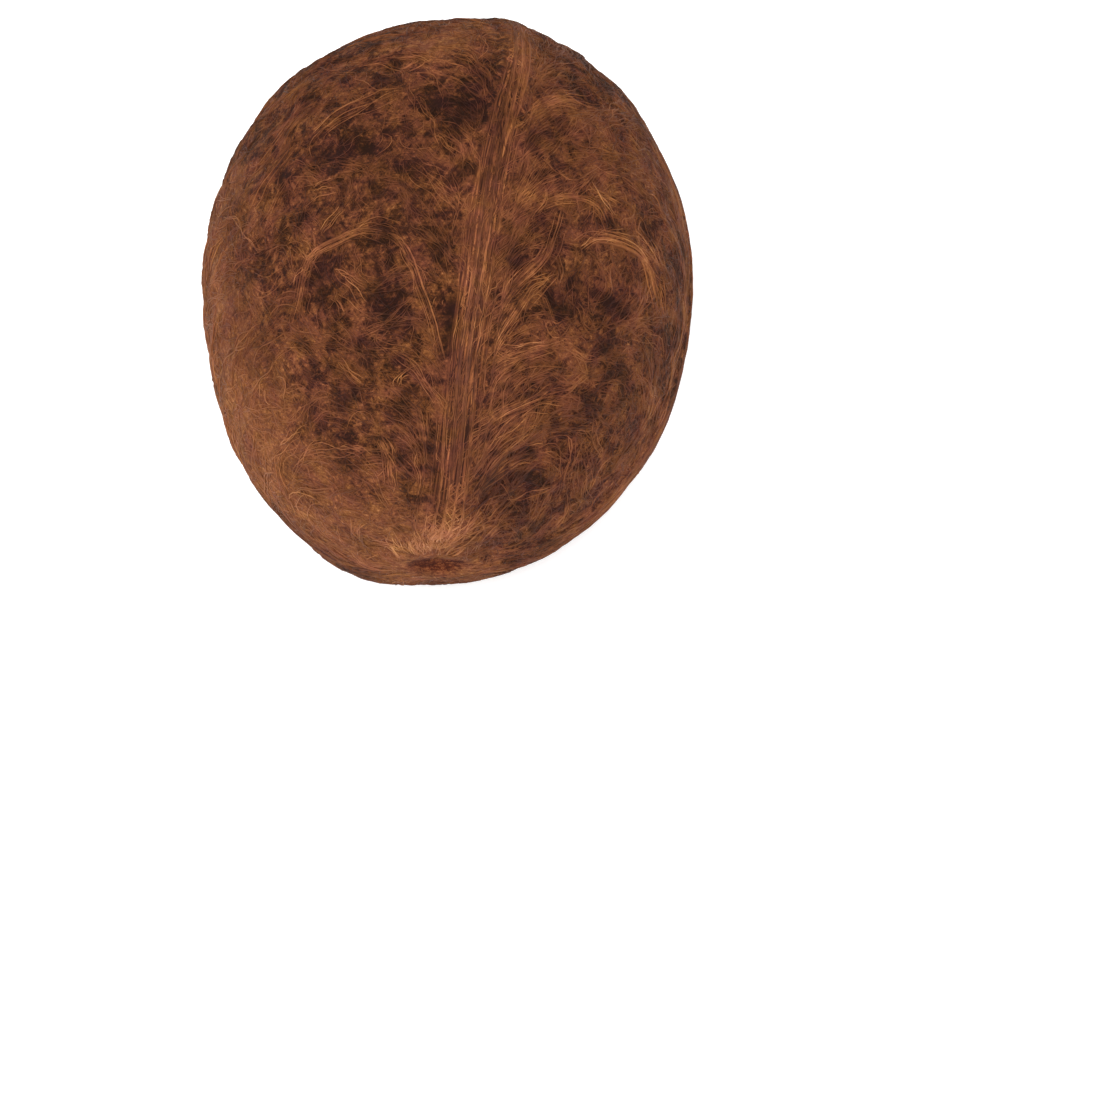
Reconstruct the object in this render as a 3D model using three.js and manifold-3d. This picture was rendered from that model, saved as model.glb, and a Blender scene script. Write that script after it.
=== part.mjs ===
// A husked brown coconut lying on its side, with the matted coir fibre that is left on its shell.
// Millimetres. X is across the nut, Y runs along it from the eye end (-Y) to the blunt end (+Y), and Z is up.
// The nut is one grown piece, so it is one closed solid: an egg-shaped body whose ridges, fibre bundles,
// hollows and scars are raised from its surface by formulas. A flat spot underneath carries it.
import * as THREE from "three";
import { mergeVertices } from "three/addons/utils/BufferGeometryUtils.js";
import Module from "manifold-3d";

const degrees = Math.PI / 180;

// Overall size
const LENGTH = 128.5;
const WIDTH = 108;
const HEIGHT = 105;
const REST_DEPTH = 1.4; // how far up the resting spot is cut into the underside
const REST_CALM = 24; // within this of the resting spot's middle the skin has little relief

// Egg form: the blunt end is a little fuller than the eye end. The eye end leans to -X, the blunt end to +X.
const TAPER = 0.05;
const FULLNESS = 0.095;
const TIP_LEAN = 2.2;
const BLUNT_LEAN = 2.5;

// The seam on top drifts to +X towards the blunt end. These are radians about the nut's long axis.
const SEAM_TURN = 0.19;
const SEAM_DRIFT = 0.17;
const SEAM_CURVE = 0.13;

// Three ridges run from end to end. Each carries a bundle of parallel fibres, drawn as ribs, which
// thins towards the blunt end. lobeColumns are the mesh's columns between a ridge and the next.
const RIB_PITCH = 1.8;
const RIB_HEIGHT = 0.32;
const RIBS_EACH_SIDE = 3;
const BUNDLE_HEIGHT = 0.6;
const BUNDLE_HALF_WIDTH = 5.4;
const BUNDLE_THINNING = 0.45;
const SWELL_HEIGHT = 1;
const SWELL_HALF_WIDTH = 13;
const RIDGES = [
  { name: "left", turn: -130 * degrees, lobeColumns: 33 },
  { name: "seam", turn: 0, lobeColumns: 25 },
  { name: "right", turn: 92 * degrees, lobeColumns: 26 },
];

// Between the ridges the fibres arch over each lobe. Their folds are low waves that follow the arches.
const ARCH_BEND = 0.3;
const FOLD_SPACING = 0.18; // as a share of half the length
const FOLD_HEIGHT = 0.3;
const LUMP_HEIGHT = 0.35;

// Rings of fibre round the swirl of each lobe: latitude and turn in degrees, radius and height in mm
const SWIRL_RINGS = [
  [-13, -25, 13, 0.4],
  [-13, -25, 6.5, 0.35],
  [-11, 30, 14, 0.4],
  [-14, 30, 7, 0.3],
  [-8, 160, 15, 0.3],
];
const RING_HALF_WIDTH = 2.2;

// Hollows where the fibre is thin: latitude and turn in degrees, radius and depth in millimetres
const HOLLOWS = [
  [35, -30, 3, 0.6],
  [13.5, -39, 5, 0.8],
  [13.5, -30, 4.5, 0.7],
  [21, -9, 7, 0.9],
  [32, 22, 4, 0.6],
  [17, 15, 6, 0.6],
  [4, -44, 4, 0.6],
  [-11.5, -24, 4.5, 0.7],
  [-16, -36, 5, 0.7],
  [-19, -20, 4, 0.8],
  [-25, -19, 4, 0.6],
  [-21, -5.6, 2.2, 0.8],
  [-24.5, -5.7, 2.2, 0.9],
  [-28, -5.6, 2, 0.7],
  [-19, 21, 4, 0.6],
  [-14, 31, 6, 0.8],
  [-15, 39, 5, 0.7],
  [5, 49, 4, 0.5],
  [5, 35, 4, 0.6],
  [-50, -34, 5, 0.7],
  [-54, 28, 7, 0.8],
  [-31, -55, 4, 0.5],
];
// Round the rest of the nut, further hollows are spread evenly by the golden angle.
const HIDDEN_HOLLOWS = 46;
const HIDDEN_HOLLOW_RADIUS = 5;
const HIDDEN_HOLLOW_DEPTH = 0.6;
const HIDDEN_FROM_TURN = 100 * degrees;

// The eye end: a raised tuft of pale fibre, the torn scar below it, and three eyes under the fibre
const TUFT = { latitude: -68, turn: 0, radius: 8, height: 0.9 };
const SCAR = { x: 1, z: 1.4, halfWidth: 6.2, halfHeight: 4.2, depth: 1.6, rim: 0.5 };
const EYES = { turns: [-62, 64, 180], distance: 13, radius: 4.2, depth: 1.1 };

// Mesh density
const ROWS = 48;
const ROW_CROWDING = 1.2; // above 1, rows crowd towards the eye end
const LEAST_RADIUS = 0.25; // near the ends the ribs stop converging at this share of the girth

const halfLength = LENGTH / 2;
const halfWidth = WIDTH / 2;
const halfHeight = HEIGHT / 2;
const girthRadius = (halfWidth + halfHeight) / 2;

const bell = (distance, width) => Math.exp(-((distance / width) ** 2));
const wrapped = (angle) => angle - 2 * Math.PI * Math.round(angle / (2 * Math.PI));

// The nut's half width at a place along it, as a share of its greatest. along is -1 to 1, end to end.
function girth(along) {
  const round = Math.sqrt(Math.max(0, 1 - along * along));
  return round * (1 + TAPER * along + FULLNESS * along * along);
}

// How far to +X the nut's middle line leans at a place along it
function leanAt(along) {
  return BLUNT_LEAN * Math.max(along, 0) ** 2 - TIP_LEAN * Math.min(along, 0) ** 2;
}

// The smooth egg, before any relief. turn is measured from the seam, towards +X.
function eggPoint(latitude, turn) {
  const along = Math.sin(latitude);
  const seam = SEAM_TURN + SEAM_DRIFT * along + SEAM_CURVE * along * along;
  const angle = turn + seam * Math.cos(turn);
  return new THREE.Vector3(
    leanAt(along) + halfWidth * girth(along) * Math.sin(angle),
    halfLength * along,
    halfHeight * girth(along) * Math.cos(angle),
  );
}

// Millimetres from a ridge's middle line, measured round the nut
function fromRidge(along, turn, ridge) {
  return girthRadius * Math.max(girth(along), 0.02) * wrapped(turn - ridge.turn);
}

// A ridge is a broad swell with the bundle on top of it. Both die away where the ridges meet at the ends.
function ridgeHeight(along, turn) {
  const swellFade = THREE.MathUtils.smoothstep(girth(along), 0.02, 0.5);
  const ribFade = THREE.MathUtils.smoothstep(girth(along), 0.22, 0.45);
  const halfBundle = BUNDLE_HALF_WIDTH * (1 - BUNDLE_THINNING * THREE.MathUtils.smoothstep(along, 0, 0.9));
  let height = 0;
  for (const ridge of RIDGES) {
    const off = fromRidge(along, turn, ridge);
    const inBundle = THREE.MathUtils.smoothstep(halfBundle + 1.2 - Math.abs(off), 0, 1.8);
    const rib = Math.cos((2 * Math.PI * off) / RIB_PITCH);
    const bundle = inBundle * ribFade * (BUNDLE_HEIGHT + RIB_HEIGHT * rib);
    height = Math.max(height, swellFade * SWELL_HEIGHT * bell(off, SWELL_HALF_WIDTH) + bundle);
  }
  return height;
}

// How far across its lobe a turn is: -1 and 1 are the ridges on either side, 0 is the middle
function acrossLobe(turn) {
  for (let k = 0; k < RIDGES.length; k++) {
    const from = RIDGES[k].turn;
    const next = RIDGES[(k + 1) % RIDGES.length].turn;
    const span = next > from ? next - from : next - from + 2 * Math.PI;
    const past = turn - from - 2 * Math.PI * Math.floor((turn - from) / (2 * Math.PI));
    if (past <= span) return (2 * past) / span - 1;
  }
  return 0;
}

function foldHeight(along, turn) {
  const across = acrossLobe(turn);
  const arch = Math.cos((Math.PI / 2) * across);
  const level = along - ARCH_BEND * Math.log(Math.max(arch, 0.05));
  const fold = Math.cos((2 * Math.PI * level) / FOLD_SPACING + 2 * Math.sin(3 * turn));
  const endFade = THREE.MathUtils.smoothstep(girth(along), 0.25, 0.6);
  return FOLD_HEIGHT * fold * endFade * THREE.MathUtils.smoothstep(arch, 0.4, 0.85);
}

function lumpHeight(p) {
  const waves =
    Math.sin(p.x / 9 + 1.3 * Math.sin(p.y / 13)) + Math.sin(p.y / 8 + 1.7 * Math.sin(p.z / 12)) +
    Math.sin(p.z / 10 + 1.5 * Math.sin(p.x / 11));
  return (LUMP_HEIGHT / 3) * waves;
}

function hiddenHollows() {
  const golden = Math.PI * (3 - Math.sqrt(5));
  const found = [];
  for (let k = 0; k < HIDDEN_HOLLOWS; k++) {
    const turn = wrapped(k * golden);
    const latitude = Math.asin(0.86 * (1 - (2 * k + 1) / HIDDEN_HOLLOWS));
    if (Math.abs(turn) < HIDDEN_FROM_TURN) continue;
    const size = 0.75 + 0.35 * Math.sin(2.4 * k);
    found.push([latitude / degrees, turn / degrees, HIDDEN_HOLLOW_RADIUS * size, HIDDEN_HOLLOW_DEPTH]);
  }
  return found;
}

const rings = SWIRL_RINGS.map(([latitude, turn, radius, height]) => ({
  centre: eggPoint(latitude * degrees, turn * degrees),
  radius,
  height,
}));
const hollows = [...HOLLOWS, ...hiddenHollows()].map(([latitude, turn, radius, depth]) => ({
  centre: eggPoint(latitude * degrees, turn * degrees),
  radius,
  depth,
}));
const tuftCentre = eggPoint(TUFT.latitude * degrees, TUFT.turn * degrees);

function ringHeight(p) {
  return rings.reduce(
    (sum, r) => sum + r.height * bell(p.distanceTo(r.centre) - r.radius, RING_HALF_WIDTH),
    0,
  );
}

function hollowDepth(p) {
  return hollows.reduce((sum, h) => sum + h.depth * bell(p.distanceTo(h.centre), h.radius), 0);
}

// The relief of the eye end, from the place's x and z off the tip
function eyeEndHeight(p) {
  const x = p.x + TIP_LEAN;
  let height = TUFT.height * bell(p.distanceTo(tuftCentre), TUFT.radius);
  if (p.y > -halfLength * 0.8) return height;
  const scar = Math.hypot((x - SCAR.x) / SCAR.halfWidth, (p.z - SCAR.z) / SCAR.halfHeight);
  height += SCAR.rim * bell(scar - 1.35, 0.4) - SCAR.depth * bell(scar, 0.85);
  for (const turn of EYES.turns) {
    const eyeX = EYES.distance * Math.sin(turn * degrees);
    const eyeZ = EYES.distance * Math.cos(turn * degrees);
    height -= EYES.depth * bell(Math.hypot(x - eyeX, p.z - eyeZ), EYES.radius);
  }
  return height;
}

// A point of the finished skin: the egg's point, moved out along the egg's own normal
function skinPoint(latitude, turn) {
  const along = Math.sin(latitude);
  const p = eggPoint(latitude, turn);
  const matted = foldHeight(along, turn) + lumpHeight(p) + ringHeight(p) - hollowDepth(p);
  const rested = p.z < 0 ? bell(Math.hypot(p.x, p.y), REST_CALM) : 0;
  const height = ridgeHeight(along, turn) + (1 - rested) * matted + eyeEndHeight(p);
  const normal = new THREE.Vector3(
    (p.x - leanAt(along)) / halfWidth ** 2,
    p.y / halfLength ** 2,
    p.z / halfHeight ** 2,
  ).normalize();
  return p.addScaledVector(normal, height);
}

// The turns of one row of points, once round: half a rib apart on each ridge, wider apart in the lobes
function rowTurns(along) {
  const step = RIB_PITCH / 2 / (girthRadius * Math.max(girth(along), LEAST_RADIUS));
  const edge = 2 * RIBS_EACH_SIDE * step;
  const turns = [];
  RIDGES.forEach((ridge, k) => {
    for (let j = -2 * RIBS_EACH_SIDE; j <= 2 * RIBS_EACH_SIDE; j++) turns.push(ridge.turn + j * step);
    const next = RIDGES[(k + 1) % RIDGES.length].turn;
    const span = (next > ridge.turn ? next : next + 2 * Math.PI) - ridge.turn - 2 * edge;
    for (let j = 1; j < ridge.lobeColumns; j++) {
      turns.push(ridge.turn + edge + (span * j) / ridge.lobeColumns);
    }
  });
  turns.push(turns[0] + 2 * Math.PI);
  return turns;
}

// A sphere's points, row by row from the blunt end, moved onto the coconut's skin
function skinGeometry() {
  const columns = rowTurns(0).length - 1;
  const sphere = new THREE.SphereGeometry(1, columns, ROWS);
  const position = sphere.getAttribute("position");
  for (let row = 0; row <= ROWS; row++) {
    const latitude = (Math.pow(1 - row / ROWS, ROW_CROWDING) - 0.5) * Math.PI;
    const turns = rowTurns(Math.sin(latitude));
    turns.forEach((turn, column) => {
      const pole = row === 0 || row === ROWS;
      const p = skinPoint(latitude, pole ? 0 : turn);
      position.setXYZ(row * (columns + 1) + column, p.x, p.y, p.z);
    });
  }
  sphere.deleteAttribute("normal");
  sphere.deleteAttribute("uv");
  return mergeVertices(sphere, 1e-3);
}

const wasm = await Module();
wasm.setup();

function solidOf(geometry) {
  return new wasm.Manifold(
    new wasm.Mesh({
      numProp: 3,
      vertProperties: new Float32Array(geometry.getAttribute("position").array),
      triVerts: new Uint32Array(geometry.index.array),
    }),
  );
}

function geometryOf(solid) {
  const mesh = solid.getMesh();
  return new THREE.BufferGeometry()
    .setAttribute("position", new THREE.BufferAttribute(mesh.vertProperties, mesh.numProp))
    .setIndex(new THREE.BufferAttribute(mesh.triVerts, 1));
}

// The block that takes off the underside below the resting spot
function underBlock(lowest) {
  const block = new THREE.BoxGeometry(WIDTH, LENGTH, 20);
  block.translate(0, 0, lowest + REST_DEPTH - 10);
  block.deleteAttribute("normal");
  block.deleteAttribute("uv");
  return mergeVertices(block, 1e-3);
}

const skin = skinGeometry();
skin.computeBoundingBox();
const cut = solidOf(skin).subtract(solidOf(underBlock(skin.boundingBox.min.z)));
const geometry = geometryOf(cut);

// The origin goes to the middle of the underside of the nut's box, on the surface that it lies on.
geometry.computeBoundingBox();
const box = geometry.boundingBox;
geometry.translate(-(box.min.x + box.max.x) / 2, -(box.min.y + box.max.y) / 2, -box.min.z);
geometry.computeVertexNormals();

const coir = new THREE.MeshStandardMaterial({ color: 0x70452e, roughness: 0.85, metalness: 0 });
const coconut = new THREE.Mesh(geometry, coir);
coconut.name = "coconut";

const group = new THREE.Group();
group.add(coconut);

export default group;
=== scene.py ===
# A husked brown coconut lying on its side on a pale surface, seen from above its eye end.
# The nut's filled solid carries its form. Here it gets its finer skin, the matted coir fibre
# that clings to the shell, the strands of its three ridges and the pale tuft at its eyes.
import math

import bmesh
import bpy
import numpy as np
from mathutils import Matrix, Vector
from mathutils.bvhtree import BVHTree


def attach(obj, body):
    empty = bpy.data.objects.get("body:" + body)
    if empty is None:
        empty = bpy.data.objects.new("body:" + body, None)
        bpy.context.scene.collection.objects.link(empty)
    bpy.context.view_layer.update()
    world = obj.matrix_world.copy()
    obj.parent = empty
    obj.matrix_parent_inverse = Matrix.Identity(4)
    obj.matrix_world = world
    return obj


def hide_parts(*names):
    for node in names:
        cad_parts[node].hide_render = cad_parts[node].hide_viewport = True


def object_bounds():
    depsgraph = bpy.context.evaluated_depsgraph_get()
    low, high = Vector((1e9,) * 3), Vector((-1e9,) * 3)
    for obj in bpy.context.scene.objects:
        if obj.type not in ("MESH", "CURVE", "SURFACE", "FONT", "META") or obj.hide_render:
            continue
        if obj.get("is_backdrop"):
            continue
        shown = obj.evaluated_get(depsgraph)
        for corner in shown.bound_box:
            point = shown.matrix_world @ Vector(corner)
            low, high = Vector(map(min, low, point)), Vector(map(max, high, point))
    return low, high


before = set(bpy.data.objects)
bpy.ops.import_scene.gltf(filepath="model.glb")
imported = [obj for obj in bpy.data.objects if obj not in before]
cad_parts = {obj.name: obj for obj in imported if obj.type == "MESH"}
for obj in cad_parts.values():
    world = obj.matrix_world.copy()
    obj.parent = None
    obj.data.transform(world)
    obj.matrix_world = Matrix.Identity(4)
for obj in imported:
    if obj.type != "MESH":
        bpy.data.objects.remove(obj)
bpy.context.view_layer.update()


# The nut's skin
# The hard shell and the felt of short coir that the husking leaves on it, grown as one egg-shaped
# piece. Three ridges run from the eyes to the blunt end, and the felt arches over the lobes between
# them. Where it has worn thin, the dark shell shows at the bottom of shallow hollows.
MM = 0.001
SKIN_COLUMNS = 420
SKIN_ROWS = 196
RIDGE_CROWDING = 1.6
CROWDED_REACH = 0.12
EGG_MIDDLE = np.array([-0.674, 0.016, 51.168])
HALF_LENGTH = 64.25
HALF_WIDTH = 54.0
HALF_HEIGHT = 52.5
GIRTH_RADIUS = (HALF_WIDTH + HALF_HEIGHT) / 2
TAPER = 0.05
FULLNESS = 0.095
EYE_END = -0.8 * HALF_LENGTH
TIP_LEAN = 2.2
BLUNT_LEAN = 2.5
SEAM_TURN = 0.19
SEAM_DRIFT = 0.17
SEAM_CURVE = 0.13
RIDGE_TURNS = np.radians([-130.0, 0.0, 92.0])
RIB_PITCH = 1.8
RIB_HEIGHT = 0.08
BUNDLE_HEIGHT = 0.6
BUNDLE_HALF_WIDTH = 5.4
BUNDLE_THINNING = 0.45
SWELL_HEIGHT = 1.0
SWELL_HALF_WIDTH = 13.0
ARCH_BEND = 0.3
FOLD_SPACING = 0.18
FOLD_HEIGHT = 0.3
LUMP_HEIGHT = 0.35
FELT_LUMP_SIZE = 2.6
FELT_LUMP_HEIGHT = 0.32
REST_CALM = 24.0
RING_HALF_WIDTH = 2.2
SCAR_MIDDLE = (1.0, 1.4)
SCAR_HALF_SIZE = (6.2, 4.2)
SCAR_DEPTH = 1.6
SCAR_RIM = 0.5
EYE_TURNS = (-62.0, 64.0, 180.0)
EYE_DISTANCE = 13.0
EYE_RADIUS = 4.2
EYE_DEPTH = 1.1
TUFT_LATITUDE = -68.0
TUFT_RADIUS = 8.0
TUFT_HEIGHT = 0.9
COAT_TONE = 0.37
TONE_WAVE = 0.025
LIE_WAVE = 1.1
HOLLOW_DARKNESS = 0.1
PIT_DARKNESS = 0.2
GAP_PIT = 1.5

# Slow waves along x, y and z: each one's reach, how much it is bent, and the bending wave's reach
LUMP_WAVES = [(9, 1.3, 13), (8, 1.7, 12), (10, 1.5, 11)]
TONE_WAVES = [(3.1, 2, 4.3), (2.7, 2, 3.7), (2.9, 2, 4.1)]
LIE_WAVES = [(3.7, 1.5, 5.3), (4.1, 1.5, 6.1), (4.3, 1.5, 5.9)]
# Rings of fibre round each lobe's swirl: latitude, turn, radius, height
SWIRL_RINGS = [
    (-13, -25, 13, 0.4),
    (-13, -25, 6.5, 0.35),
    (-11, 30, 14, 0.4),
    (-14, 30, 7, 0.3),
    (-8, 160, 15, 0.3),
]
# Worn hollows: latitude, turn, radius, depth
HOLLOWS = [
    (35, -30, 3, 0.6), (13.5, -39, 5, 0.8), (13.5, -30, 4.5, 0.7), (21, -9, 7, 0.9), (32, 22, 4, 0.6),
    (17, 15, 6, 0.6), (4, -44, 4, 0.6), (-11.5, -24, 4.5, 0.7), (-16, -36, 5, 0.7), (-19, -20, 4, 0.8),
    (-25, -19, 4, 0.6), (-21, -5.6, 2.2, 0.8), (-24.5, -5.7, 2.2, 0.9), (-28, -5.6, 2, 0.7),
    (-19, 21, 4, 0.6), (-14, 31, 6, 0.8), (-15, 39, 5, 0.7), (5, 49, 4, 0.5), (5, 35, 4, 0.6),
    (-50, -34, 5, 0.7), (-54, 28, 7, 0.8), (-31, -55, 4, 0.5),
]
HIDDEN_HOLLOWS = 46
HIDDEN_HOLLOW_RADIUS = 5
HIDDEN_FROM_TURN = math.radians(100)


def bell(distance, width):
    return np.exp(-((distance / width) ** 2))


def smoothstep(value, low, high):
    share = np.clip((value - low) / (high - low), 0, 1)
    return share * share * (3 - 2 * share)


def girth(along):
    return np.sqrt(np.maximum(0, 1 - along * along)) * (1 + TAPER * along + FULLNESS * along * along)


def wrapped(angle):
    return angle - 2 * np.pi * np.round(angle / (2 * np.pi))


def lean_at(along):
    return BLUNT_LEAN * np.maximum(along, 0) ** 2 - TIP_LEAN * np.minimum(along, 0) ** 2


def egg_point(latitude, turn):
    """The smooth egg, in millimetres about its middle. turn is measured from the seam, towards +X."""
    along = np.sin(latitude)
    angle = turn + (SEAM_TURN + SEAM_DRIFT * along + SEAM_CURVE * along**2) * np.cos(turn)
    return np.stack([
        lean_at(along) + HALF_WIDTH * girth(along) * np.sin(angle),
        HALF_LENGTH * along,
        HALF_HEIGHT * girth(along) * np.cos(angle),
    ], axis=-1)


def egg_place(point):
    """The latitude and turn of points on or near the egg."""
    along = np.clip(point[..., 1] / HALF_LENGTH, -0.9999, 0.9999)
    across = (point[..., 0] - lean_at(along)) / HALF_WIDTH
    up = point[..., 2] / HALF_HEIGHT
    round_share = np.hypot(across, up) / (1 + TAPER * along + FULLNESS * along**2)
    latitude = np.arctan2(point[..., 1] / HALF_LENGTH, round_share)
    along = np.sin(latitude)
    seam = SEAM_TURN + SEAM_DRIFT * along + SEAM_CURVE * along**2
    angle = np.arctan2(across, up)
    # The shift from angle to turn depends on the turn itself, so it is found by repeating
    turn = angle
    for _ in range(5):
        turn = angle - seam * np.cos(turn)
    return latitude, turn


def egg_normal(point, latitude):
    slope = np.stack([
        (point[..., 0] - lean_at(np.sin(latitude))) / HALF_WIDTH**2,
        point[..., 1] / HALF_LENGTH**2,
        point[..., 2] / HALF_HEIGHT**2,
    ], axis=-1)
    return slope / np.linalg.norm(slope, axis=-1, keepdims=True)


def from_ridges(along, turn):
    """Signed millimetres from each ridge's middle line, one row for each ridge."""
    round_radius = GIRTH_RADIUS * np.maximum(girth(along), 0.02)
    return np.stack([round_radius * wrapped(turn - ridge) for ridge in RIDGE_TURNS])


def across_lobe(turn):
    """How far across its lobe a turn is: -1 and 1 at the ridges, 0 in the middle."""
    across = np.zeros_like(turn)
    for index, ridge in enumerate(RIDGE_TURNS):
        span = (RIDGE_TURNS[(index + 1) % 3] - ridge) % (2 * np.pi)
        past = (turn - ridge) % (2 * np.pi)
        across = np.where(past <= span, 2 * past / span - 1, across)
    return across


def hidden_hollows():
    """Hollows spread evenly over the side that the photograph doesn't show."""
    golden = math.pi * (3 - math.sqrt(5))
    found = []
    for index in range(HIDDEN_HOLLOWS):
        turn = float(wrapped(index * golden))
        latitude = math.asin(0.86 * (1 - (2 * index + 1) / HIDDEN_HOLLOWS))
        if abs(turn) >= HIDDEN_FROM_TURN:
            radius = HIDDEN_HOLLOW_RADIUS * (0.75 + 0.35 * math.sin(2.4 * index))
            found.append((math.degrees(latitude), math.degrees(turn), radius, 0.6))
    return found


ALL_HOLLOWS = HOLLOWS + hidden_hollows()


def away_from(latitude, turn, point):
    """How far points are from a place on the egg that is given in degrees."""
    return np.linalg.norm(point - egg_point(math.radians(latitude), math.radians(turn)), axis=-1)


def hollow_depth(point, widen=1.0):
    """How deep the worn hollows are at a point, in millimetres."""
    depth = np.zeros(point.shape[:-1])
    for latitude, turn, radius, deep in ALL_HOLLOWS:
        depth = depth + deep * bell(away_from(latitude, turn, point), radius * widen)
    return depth


def slow_waves(point, bent_waves):
    """The sum of three waves along x, y and z, each bent by a wave along the next one of them."""
    total = np.zeros(point.shape[:-1])
    for axis, (reach, bend, bending_reach) in enumerate(bent_waves):
        bending = np.sin(point[..., (axis + 1) % 3] / bending_reach)
        total = total + np.sin(point[..., axis] / reach + bend * bending)
    return total


def in_bundles(along, off, half_width=BUNDLE_HALF_WIDTH + 1.2):
    """1 on a ridge's bundle of strands and 0 off it, one row for each ridge."""
    thinned = BUNDLE_THINNING * BUNDLE_HALF_WIDTH * smoothstep(along, 0, 0.9)
    return smoothstep(half_width - thinned - np.abs(off), 0, 1.8)


def ridge_height(along, turn):
    off = from_ridges(along, turn)
    swell_fade = smoothstep(girth(along), 0.02, 0.5)
    rib_fade = smoothstep(girth(along), 0.22, 0.45)
    in_bundle = in_bundles(along, off)
    rib = np.cos(2 * np.pi * off / RIB_PITCH + 1.5 * np.sin(9 * along))
    bundle = in_bundle * rib_fade * (BUNDLE_HEIGHT + RIB_HEIGHT * rib)
    return (swell_fade * SWELL_HEIGHT * bell(off, SWELL_HALF_WIDTH) + bundle).max(axis=0)


def fold_height(along, turn):
    arch = np.cos(np.pi / 2 * across_lobe(turn))
    level = along - ARCH_BEND * np.log(np.maximum(arch, 0.05))
    fold = np.cos(2 * np.pi * level / FOLD_SPACING + 2 * np.sin(3 * turn))
    end_fade = smoothstep(girth(along), 0.25, 0.6)
    return FOLD_HEIGHT * fold * end_fade * smoothstep(arch, 0.4, 0.85)


def ring_height(point):
    height = np.zeros(point.shape[:-1])
    for latitude, turn, radius, high in SWIRL_RINGS:
        height = height + high * bell(away_from(latitude, turn, point) - radius, RING_HALF_WIDTH)
    return height


def scar_distance(point):
    """1 on the scar's edge, 0 in its middle, and large away from the eye end."""
    off_x = (point[..., 0] + TIP_LEAN - SCAR_MIDDLE[0]) / SCAR_HALF_SIZE[0]
    off_z = (point[..., 2] - SCAR_MIDDLE[1]) / SCAR_HALF_SIZE[1]
    return np.where(point[..., 1] < EYE_END, np.hypot(off_x, off_z), 9)


def eye_end_height(point):
    height = TUFT_HEIGHT * bell(away_from(TUFT_LATITUDE, 0, point), TUFT_RADIUS)
    scar = scar_distance(point)
    height = height + SCAR_RIM * bell(scar - 1.35, 0.4) - SCAR_DEPTH * bell(scar, 0.85)
    at_eye_end = point[..., 1] < EYE_END
    for turn in np.radians(EYE_TURNS):
        off_x = point[..., 0] + TIP_LEAN - EYE_DISTANCE * np.sin(turn)
        off_z = point[..., 2] - EYE_DISTANCE * np.cos(turn)
        height = height - at_eye_end * EYE_DEPTH * bell(np.hypot(off_x, off_z), EYE_RADIUS)
    return height


def skin_point(latitude, turn):
    along = np.sin(latitude)
    point = egg_point(latitude, turn)
    lumps = LUMP_HEIGHT / 3 * slow_waves(point, LUMP_WAVES)
    matted = fold_height(along, turn) + lumps + ring_height(point) - hollow_depth(point)
    rested = np.where(point[..., 2] < 0, bell(np.hypot(point[..., 0], point[..., 1]), REST_CALM), 0)
    height = ridge_height(along, turn) + (1 - rested) * matted + eye_end_height(point)
    return point + egg_normal(point, latitude) * height[..., None]


# Where the coat is lighter or darker than the rest: latitude, turn, radius, and how much
TONE_PATCHES = [
    (-58, -62, 18, 0.08), (-30, -80, 24, 0.16), (5, -80, 22, 0.11), (-74, -35, 9, 0.04),
    (-77, -4, 4, 0.13), (-71.5, 0, 4, 0.13), (24, 1, 3, 0.1), (30, 1, 3, 0.12), (36, 1, 3.2, 0.14),
    (42, 2, 3.5, 0.16), (50, 2, 4.5, 0.16), (46, -22, 12, 0.1), (18, 30, 14, 0.05),
    (-84, 180, 15, 0.1), (-68, -80, 10, 0.08), (-40, 95, 16, 0.08), (20, 75, 16, 0.07),
    (0, 150, 40, 0.06), (12, -55, 12, 0.03), (14, -34, 14, -0.02), (20, -9, 8, -0.06),
    (-6, -8, 5, -0.05), (-50, 3, 10, -0.08), (-8, 40, 24, 0.05), (-50, -52, 12, -0.03),
    (-22, -27, 2.6, 0.09), (-5, -28, 3, 0.05), (-30, 15, 4, 0.06), (-13, 1.5, 3, 0.02),
    (-19, 1, 3, 0.04), (-25, 0.5, 3, 0.03), (-78, 32, 3, 0.07),
]
# Small dark pits, where the shell shows between the strands: latitude, turn and radius
PITS = [
    (-13, -36, 2.6), (-17, -37, 2), (-23, -34, 1.8), (-19, -19, 2.7), (-24, -19, 2.2), (-5, -23, 2.2),
    (-5, -35, 1.8), (0, -41, 2.6), (-38, -33, 2.6), (-31, -41, 2.2), (-46, -37, 2.8), (-52, -40, 2.8),
    (4, 50, 2.2), (-19, 25, 3), (-15, 41, 2.6), (-49, 27, 2), (-57, 15, 2.4), (-54, 35, 3),
    (-60, 24, 2.6), (-9, 8, 2), (-12, 8.5, 2), (-2, 12, 2.2), (-17, 10, 2.2), (-19, 22, 2.4),
    (-22, 15, 1.8), (-15, 37, 2.2), (-15, 45, 2), (1, 34, 1.8), (-12, 25, 2), (-23, 40, 2.4),
    (-50, -8, 1.8), (-55, -8, 1.8), (-52, -18, 2), (-58, -19, 2), (-40, -35, 2), (-60, 10, 1.5),
    (-64, 11, 1.5), (14, -41, 3), (13, -29, 2.6), (20, -9, 3.4), (11, -48, 2), (-35, 41, 2.4),
]
# The long narrow gap beside the seam: latitude from and to, turn, half width
SEAM_GAP = (-30, -18, -4.9, 1.3)


def patch_tones(point):
    """How much lighter and how much darker the patches make the coat."""
    lighter = np.zeros(point.shape[:-1])
    darker = np.zeros(point.shape[:-1])
    for latitude, turn, radius, change in TONE_PATCHES:
        near = bell(away_from(latitude, turn, point), radius)
        lighter = lighter + near * max(change, 0)
        darker = darker + near * min(change, 0)
    return lighter, darker


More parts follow.
